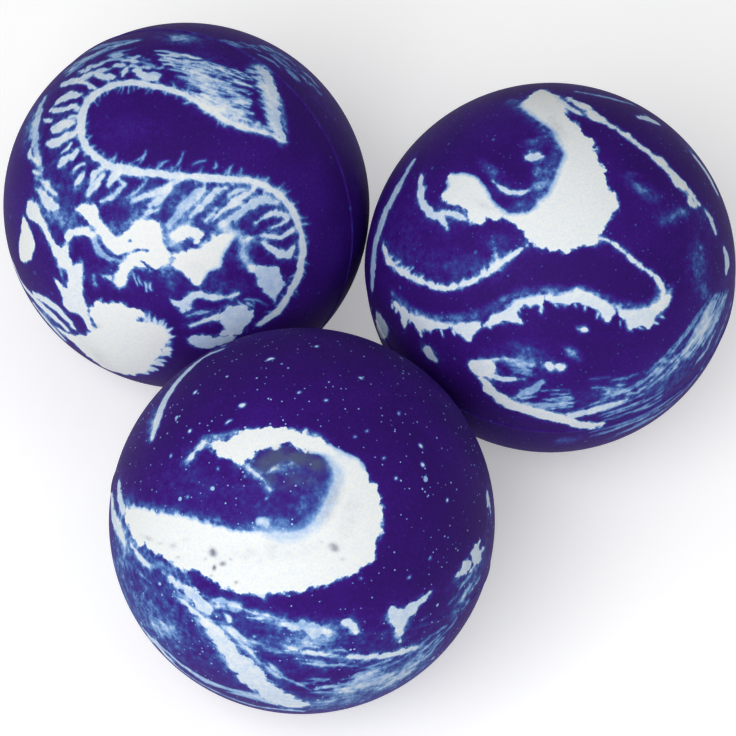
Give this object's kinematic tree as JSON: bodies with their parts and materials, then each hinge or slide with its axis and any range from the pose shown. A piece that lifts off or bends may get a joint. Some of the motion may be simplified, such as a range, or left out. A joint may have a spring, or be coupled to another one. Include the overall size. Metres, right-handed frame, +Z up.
{
  "type": "marbled bouncy balls",
  "caption": "Solid rubber bouncy balls, blue with white marbling, that rest in a close trio on a floor and roll apart.",
  "frame": {"origin": "on the floor, under the middle of the trio's bounding box", "axes": "+Z up; -Y towards the viewer, where the front ball lies; +X to the viewer's right"},
  "size_m": [0.0637, 0.0626, 0.032],
  "materials": {
    "blue_rubber": "matte moulded",
    "white_rubber": "matte moulded"
  },
  "bodies": {
    "front_ball": {"front_blue_rubber": "blue_rubber", "front_hook_streak": "white_rubber", "front_shoulder_streak": "white_rubber", "front_waist_streak": "white_rubber", "front_diagonal_streak": "white_rubber", "front_thread_streak": "white_rubber", "front_star_streak": "white_rubber", "front_side_streak": "white_rubber", "front_rear_streak": "white_rubber"},
    "left_ball": {"left_blue_rubber": "blue_rubber", "left_winding_streak": "white_rubber", "left_wedge_streak": "white_rubber", "left_grain_streaks": "white_rubber", "left_comb_streaks": "white_rubber", "left_fan_streaks": "white_rubber", "left_heart_streak": "white_rubber", "left_branch_streak": "white_rubber", "left_foot_streak": "white_rubber", "left_low_streaks": "white_rubber", "left_side_streaks": "white_rubber", "left_rear_streak": "white_rubber"},
    "right_ball": {"right_blue_rubber": "blue_rubber", "right_boot_streak": "white_rubber", "right_crescent_streak": "white_rubber", "right_hook_streak": "white_rubber", "right_loop_streak": "white_rubber", "right_wave_streak": "white_rubber", "right_crown_streak": "white_rubber", "right_low_streak": "white_rubber", "right_rim_streaks": "white_rubber", "right_side_streak": "white_rubber", "right_rear_streak": "white_rubber"}
  },
  "joints": [
    {"name": "left_ball_roll", "type": "slide", "parent": "front_ball", "child": "left_ball", "axis": [-0.3223, 0.9466, 0], "range_m": [0, 0.1005]},
    {"name": "right_ball_roll", "type": "slide", "parent": "front_ball", "child": "right_ball", "axis": [0.6587, 0.7524, 0], "range_m": [0, 0.1005]}
  ]
}
